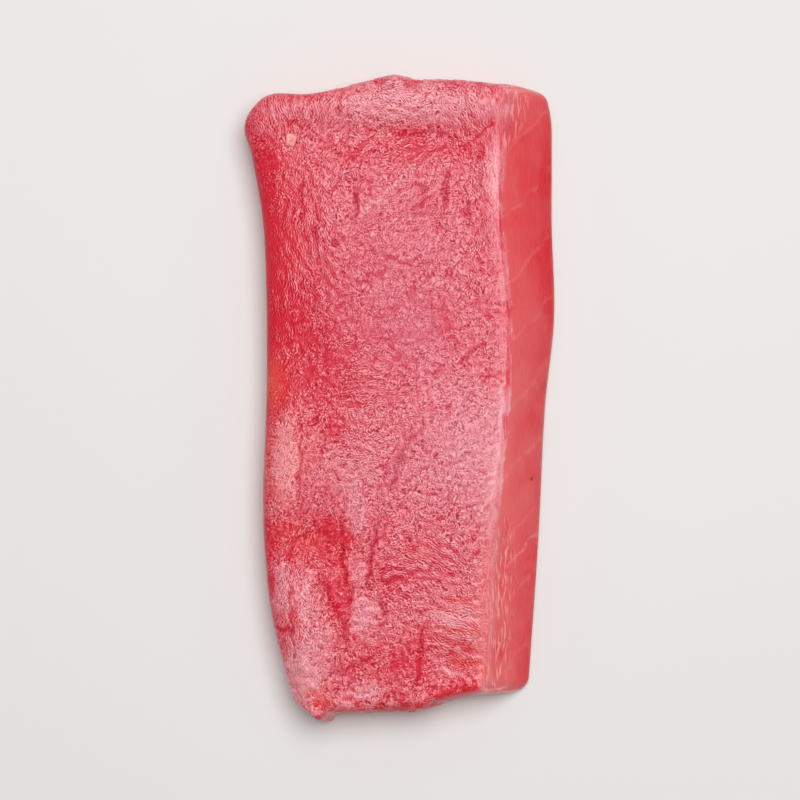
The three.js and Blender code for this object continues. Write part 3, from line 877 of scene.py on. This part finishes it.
def flesh_material():
    """Raw tuna muscle, knife cut: translucent red with crinkled fibre ends, under a thin wet film
    that throws a pale haze. Much of that haze is painted sheen in the colour, along with painted
    glints and painted shade in the crinkle, the creases and on slopes turned from the light."""
    material, add = new_material("raw_tuna_muscle_knife_cut")
    names = (
        "on_face", "from_cut", "edge_width", "relief", "flatness", "valley", "groove", "fold",
        "pale", "lilac", "orange", "pale_line", "strictness", "wave_turn",
    )
    (
        on_face, from_cut, edge_width, relief, flatness, valley, groove, fold,
        pale, lilac, orange, pale_line, strictness, wave_turn,
    ) = [add("ShaderNodeAttribute", attribute_name=name).outputs["Fac"] for name in names]
    place = add(SCALE, add("ShaderNodeTexCoord").outputs["Object"], 1 / MM)
    patch = add(NOISE, place, 1 / PATCH_WIDTH, 3)
    blotch = add(NOISE, place, 1 / BLOTCH_WIDTH, 2)
    speck = add(NOISE, place, 1 / SPECK_WIDTH, 1)
    patch_swing, blotch_swing, speck_swing = [add(MINUS, n, 0.5) for n in (patch, blotch, speck)]

    # Crinkle: short ridges and small cells a third of a millimetre across, bent by a soft noise
    push = add(NOISE, place, 0.6, 2)
    bent, pushed = bend(add, place, push, add(RANGE, strictness, 0, 0.9, 2, 0.8))
    waves = add(GABOR, bent, 1 / RIDGE_PATCH, RIDGE_PATCH / RIDGE_PITCH, strictness, wave_turn)
    ridge = add(RANGE, waves, 0.32, 0.68)
    cell_place, _ = bend(add, bent, speck, 0.4)
    cell = add("ShaderNodeTexVoronoi", cell_place, 1 / CELL_WIDTH, voronoi_dimensions="2D")
    dome = add(RANGE, cell, 0.15, 0.7, 1, 0)
    knit = add(MIX, add(RANGE, strictness, 0, 0.8, 0.5, 0.9), dome, ridge)
    broken = add(TIMES_PLUS, speck_swing, 0.5, knit, use_clamp=True)
    crinkle = add(RANGE, broken, 0.05, 0.85)

    # The cut face's edge towards the cut side ends in ragged strands that run lengthwise
    nudged = add("ShaderNodeVectorMath", pushed, (0.35, 0.35, 0.35), place, operation="MULTIPLY_ADD")
    strand = add(NOISE, add(STRETCH, nudged, STRAND_DRAW), 1, 1)
    sway = add(TIMES_PLUS, strand, 2.2, add(TIMES_PLUS, broken, 0.6, -1))
    ragged = add(TIMES_PLUS, sway, edge_width, from_cut)
    over_edge = add(PLUS, blotch_swing, ragged)
    softness = add(TIMES_PLUS, edge_width, 1.1, -0.08)
    edge = add(PLUS, add(OVER, over_edge, softness), 0.5, use_clamp=True)
    face = add(TIMES, edge, on_face)
    near_cut = add(RANGE, from_cut, -0.8, 3)
    unevenness = add(RANGE, blotch, 0.38, 0.62, 0.6, 1.1)
    smoother = add(RANGE, lilac, 0.3, 1.5, 1, 0.7)
    strength = face
    for share in (flatness, near_cut, unevenness, smoother):
        strength = add(TIMES, strength, share)

    # Where the flesh is reddest, the crinkle's painted sheen shows as pale strands, the patches are
    # stronger, and the painted shade is weaker
    redness = add(RANGE, pale, -0.2, 0.45, 1, 0)
    strand_contrast = add(TIMES_PLUS, redness, 1, 0.8)
    patch_contrast = add(TIMES_PLUS, redness, 0.9, 0.55)
    calm = add(TIMES_PLUS, redness, -0.3, 1)
    swung = add(TIMES, add(MINUS, crinkle, 0.62), strength)
    # Painted light and shade: paler on raised relief and at the middles of the crinkle's cells (painted
    # glints), darker in creases, and on steep places paler next to the cut's edge and darker elsewhere
    relief_light_shade = add(RANGE, relief, -1.2, 1.2, -0.36, 0.36)
    crease = add(RANGE, valley, 0.14, 0.42)
    cell_glint = add(RANGE, cell, 0.08, 0.24, 0.35, 0)
    steepness = add(MINUS, flatness, 1)
    slope_light_shade = add(RANGE, from_cut, 0, 1.2, -0.5, 0.45)

    # A darker line of painted shade just past the cut's edge and pieces of a pale rim of painted
    # highlight follow it, mostly on its near half
    near_half = add(RANGE, add("ShaderNodeSeparateXYZ", place).outputs["Y"], -2, 5, 1, 0.2)
    past_arris = add(RANGE, from_cut, -1.2, 0.6, -0.8, 0)

    # Where the cut's edge is sharp, it is a paler strip: painted highlight
    edge_highlight_strip = add(TIMES, add(RANGE, from_cut, 0.5, 1.5, 1, 0), add(RANGE, patch, 0.42, 0.6, -0.1, 0.35))
    sharp_edge = add(RANGE, edge_width, EDGE_WIDTH, 0.8, 1, 0)

    # Sheets of pale tissue, seen as thin lines where the cut meets them
    sheet_place = add("ShaderNodeVectorMath", place, SHEET_NORMAL, operation="DOT_PRODUCT")
    sheet_bend = add(TIMES_PLUS, patch, 3, sheet_place)
    from_sheet = add("ShaderNodeMath", sheet_bend, SHEET_SPACING / 2, operation="PINGPONG")
    sheet_line = add(RANGE, from_sheet, 0.05, 0.35, 1, 0)
    sheet = add(TIMES, sheet_line, add(RANGE, blotch, 0.45, 0.6))

    # Tone: 0 where the flesh shows deep red, and over 1 where the film's painted sheen is palest. With
    # the flesh's own patches and tissue lines it adds painted light: the crinkle's sheen and shade,
    # glints, highlights along the cut's edge, and shade in folds, creases and grooves
    tone = pale
    for share, amount in (
        (swung, strand_contrast), (patch_swing, patch_contrast), (blotch_swing, 0.25),
        (speck_swing, 0.6), (relief_light_shade, 1), (fold, -0.3), (crease, -0.28),
        (groove, -0.4), (cell_glint, strength), (steepness, slope_light_shade), (past_arris, near_half),
        (pale_line, 1), (edge_highlight_strip, sharp_edge), (sheet, 0.12),
    ):
        tone = add(TIMES_PLUS, share, amount, tone)

    # From deep crimson to the painted haze's pale pink, on one straight line of colours
    even = add(RANGE, tone, 0, 1.6, 0, 0.8)
    eased = add(RANGE, tone, 0, 1.6, 0, 0.8, interpolation_type="SMOOTHSTEP")
    bowed = add(MIX, 0.65, even, eased)
    hazed = add(MIX_COLOUR, bowed, linear("#d01938"), linear("#e8a6ac"))
    # Lilac: mostly the painted sheen's cool tint, and the magenta of painted shade in creases
    lilac_share = add(TIMES, lilac, add(RANGE, from_cut, -0.5, 1, 0, 0.24))
    cooled = add(MIX_COLOUR, lilac_share, hazed, linear("#cf8298"))
    # Orange: partly a painted glow of light through thin flesh, partly warmer flesh
    warmed = add(MIX_COLOUR, add(TIMES, orange, 0.32), cooled, linear("#f07a5c"))

    # Painted shade: the crinkle shades the flesh's colour, and its narrow valleys and the creases'
    # grooves are darkest, towards magenta
    shade = add(TIMES_PLUS, add(TIMES, swung, calm), 0.5, 0.98)
    low = add(RANGE, crinkle, 0, 0.4, 1, 0)
    calm_strength = add(TIMES, strength, calm)
    lows = add(TIMES, low, calm_strength)
    dark = add(TIMES_PLUS, groove, 0.9, lows, use_clamp=True)
    lined = add(MIX_COLOUR, dark, add(SCALE, warmed, shade), linear("#e0b0c4"), blend_type="MULTIPLY")

    # The sides: clear red with faint clouds and strands, and thin lines of tissue. The cut side turns
    # paler up towards its edge: painted light
    soft_share = add(RANGE, edge_width, EDGE_WIDTH, SOFT_WIDTH, 0.04, 0.07)
    streaked = add(RANGE, strand, 0.35, 0.65, 0, soft_share)
    cloud = add(RANGE, patch, 0.34, 0.66, -0.045, 0.045)
    hazy = add(TIMES_PLUS, pale, 0.28, add(RANGE, from_cut, -6.4, -0.6, -0.04, 0.16))
    cloudy = add(PLUS, add(PLUS, hazy, cloud, use_clamp=True), streaked)
    sheeted = add(TIMES_PLUS, sheet_line, add(RANGE, blotch, 0.4, 0.6, 0.03, 0.14), cloudy)
    side_pale = add(PLUS, sheeted, pale_line, use_clamp=True)
    side = add(MIX_COLOUR, side_pale, linear("#d21f2e"), linear("#f28c89"))
    faced = add(MIX_COLOUR, face, side, lined)

    # Painted highlights: short lengthwise glints crowd along the cut's edge, over a wider band where it is
    # soft
    fine_strand = add(NOISE, add(STRETCH, nudged, GLINT_DRAW), 1, 0)
    glint = add(RANGE, fine_strand, 0.54, 0.74)
    crowd_end = add(TIMES, edge_width, -1.1)
    crowd_start = add(TIMES, edge_width, -0.6)
    glint_share = add(RANGE, from_cut, crowd_end, crowd_start, 0.03, 0.6)
    glint_end = add(RANGE, from_cut, -0.4, 1.4, 1, 0)
    for share in (glint_share, glint_end):
        glint = add(TIMES, glint, share)
    glinted = add(MIX_COLOUR, glint, faced, linear("#f4b0ac"))

    # A thin pale line of painted highlight runs along parts of the cut's edge
    rim = add(RANGE, add(ABSOLUTE, over_edge), 0.08, 0.3, 0.6, 0)
    rim_part = add(RANGE, patch, 0.44, 0.54)
    for share in (rim_part, sharp_edge, near_half):
        rim = add(TIMES, rim, share)
    colour = add(MIX_COLOUR, rim, glinted, linear("#eeb0ae"))

    # Specks of dark blood
    flat = add(STRETCH, place, (1, 1, 0))
    for x, y in BLOOD_SPECKS:
        away = add("ShaderNodeVectorMath", flat, (x, y, 0), operation="DISTANCE")
        blood = add(RANGE, away, 0.3 * BLOOD_WIDTH, 0.6 * BLOOD_WIDTH, 0.9, 0)
        colour = add(MIX_COLOUR, blood, colour, linear("#8c0c1e"))

    # The crinkle and the strands are raised a little. The film's gloss is weak on deep red and
    # misses the grooves
    raised = add(TIMES, add(PLUS, broken, crinkle), calm_strength)
    height = add(TIMES_PLUS, strand, 0.6, raised)
    bump = add("ShaderNodeBump", {"Strength": 1, "Distance": CRINKLE_BUMP * MM, "Height": height})
    wetness = add(TIMES, add(RANGE, tone, -0.3, 0.5, 0.2, 1), add(TIMES_PLUS, dark, -0.9, 1))
    roughness = add(RANGE, blotch, 0.3, 0.7, 0.38, 0.52)
    shader = add("ShaderNodeBsdfPrincipled", {
        "Base Color": colour, "Roughness": roughness, "Normal": bump,
        "IOR": FLESH_IOR, "Specular IOR Level": 0.12,
        "Subsurface Weight": 0.8, "Subsurface Radius": (1, 0.2, 0.15), "Subsurface Scale": 1.6 * MM,
        "Coat Weight": wetness, "Coat Roughness": 0.12, "Coat IOR": FILM_IOR, "Coat Normal": bump,
    })
    add("ShaderNodeOutputMaterial", shader)
    return material


def fleck():
    """A thin, slightly curled fleck of tissue, closed all round, lying on the slice."""
    x, y, half_x, half_y, turn, thickness = FLECK
    rings, spokes = 7, 36
    shares = np.linspace(0, math.pi, rings)
    angles = np.linspace(0, 2 * math.pi, spokes, endpoint=False)
    share, angle = np.meshgrid(shares, angles, indexing="ij")
    ragged = 1 + 0.06 * np.sin(3 * angle + 0.8) + 0.05 * np.sin(5 * angle + 1)
    ragged += 0.04 * np.sin(9 * angle)
    square = (np.abs(np.cos(angle)) ** 6 + np.abs(np.sin(angle)) ** 6) ** (-1 / 6)
    out = np.sin(share) ** 0.5 * ragged * square
    u, v = out * np.cos(angle) * half_x, out * np.sin(angle) * half_y
    crumple = 0.10 * (u / half_x) ** 2 + 0.07 * np.sin(5 * u - 4 * v) + 0.04 * np.sin(6 * u + 7 * v)
    height = np.cos(share) * thickness / 2 + FLECK_LIFT + crumple
    cosine, sine = math.cos(turn), math.sin(turn)
    plan = np.stack([x + u * cosine - v * sine, y + u * sine + v * cosine], -1)
    below = face_height(np.array([[x, y]]))[0]
    points = np.dstack([plan + SHIFT, below + height]).reshape(-1, 3)
    index = np.arange(rings * spokes).reshape(rings, spokes)
    aside = np.roll(index, -1, axis=1)
    quads = np.stack([index[:-1], index[1:], aside[1:], aside[:-1]], -1)[1:-1].reshape(-1, 4).tolist()
    top, bottom = index[1].tolist(), index[-2][::-1].tolist()
    mesh = bpy.data.meshes.new("tissue_fleck")
    mesh.from_pydata((points * MM).tolist(), [], quads + [top, bottom])
    mesh.polygons.foreach_set("use_smooth", [True] * len(mesh.polygons))
    return mesh


def add_lights():
    """One large soft light above the far end, and an even pale surround."""
    place = Vector((0.06, 0.16, 0.62))
    light = bpy.data.lights.new("overhead_softbox", "AREA")
    light.shape = "DISK"
    light.size = 0.5
    light.energy = 4.4
    light.color = linear("#fdfcff")[:3]
    lamp = new_object("overhead_softbox", light)
    lamp.location = place
    lamp.rotation_euler = (-place).to_track_quat("-Z", "Y").to_euler()
    lamp.visible_camera = False
    world = bpy.data.worlds.new("pale_studio")
    world.use_nodes = True
    surround = world.node_tree.nodes["Background"].inputs
    surround["Color"].default_value = linear("#f4f6f8")
    surround["Strength"].default_value = 0.3
    bpy.context.scene.world = world


def add_floor():
    """A matt white board with no edge in view."""
    mesh = bpy.data.meshes.new("floor")
    reach = 3
    corners = [(-reach, -reach, 0), (reach, -reach, 0), (reach, reach, 0), (-reach, reach, 0)]
    mesh.from_pydata(corners, [], [(0, 1, 2, 3)])
    material = bpy.data.materials.new("matt_white_board")
    material.use_nodes = True
    board = material.node_tree.nodes["Principled BSDF"].inputs
    board["Base Color"].default_value = linear("#d9d7d3")
    board["Roughness"].default_value = 0.7
    mesh.materials.append(material)
    floor = new_object("floor", mesh)


def add_camera():
    """Straight above the slice, as the photograph was taken, with +Y up in the picture."""
    distance = 0.42
    frame_height = 0.102
    sensor = 36
    camera = bpy.data.cameras.new("camera")
    camera.sensor_width = sensor
    camera.lens = sensor * (distance - cad_high.z) / frame_height
    camera.clip_start = 0.01
    camera.clip_end = 10
    holder = new_object("camera", camera)
    middle = (cad_low + cad_high) / 2
    holder.location = (middle.x, middle.y, distance)
    bpy.context.scene.camera = holder


flesh = through_nodes("tuna_flesh", slice_mesh(), muscle_relief_tree(), {
    **{name: size * MM for name, size in RELIEF.items()},
    "Seed": float(SEED),
    "Flesh": flesh_material(),
})
fibres = through_nodes("torn_fibres", flesh.data, torn_fibres_tree(), {
    **{name: size * MM for name, size in FIBRES.items()},
    "Density": FIBRE_DENSITY / MM**2,
    "Seed": SEED,
    "Fibre": tissue_material("raw_tuna_fibre_torn", "#e27a84"),
})
fleck_mesh = fleck()
fleck_mesh.materials.append(tissue_material("connective_tissue_scraped", "#ee9488"))
fleck_piece = new_object("tissue_fleck", fleck_mesh)
for piece in (flesh, fibres, fleck_piece):
    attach(piece, BODY)
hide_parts(NODE)

add_floor()
add_lights()
add_camera()
bpy.context.scene.view_settings.view_transform = "Standard"
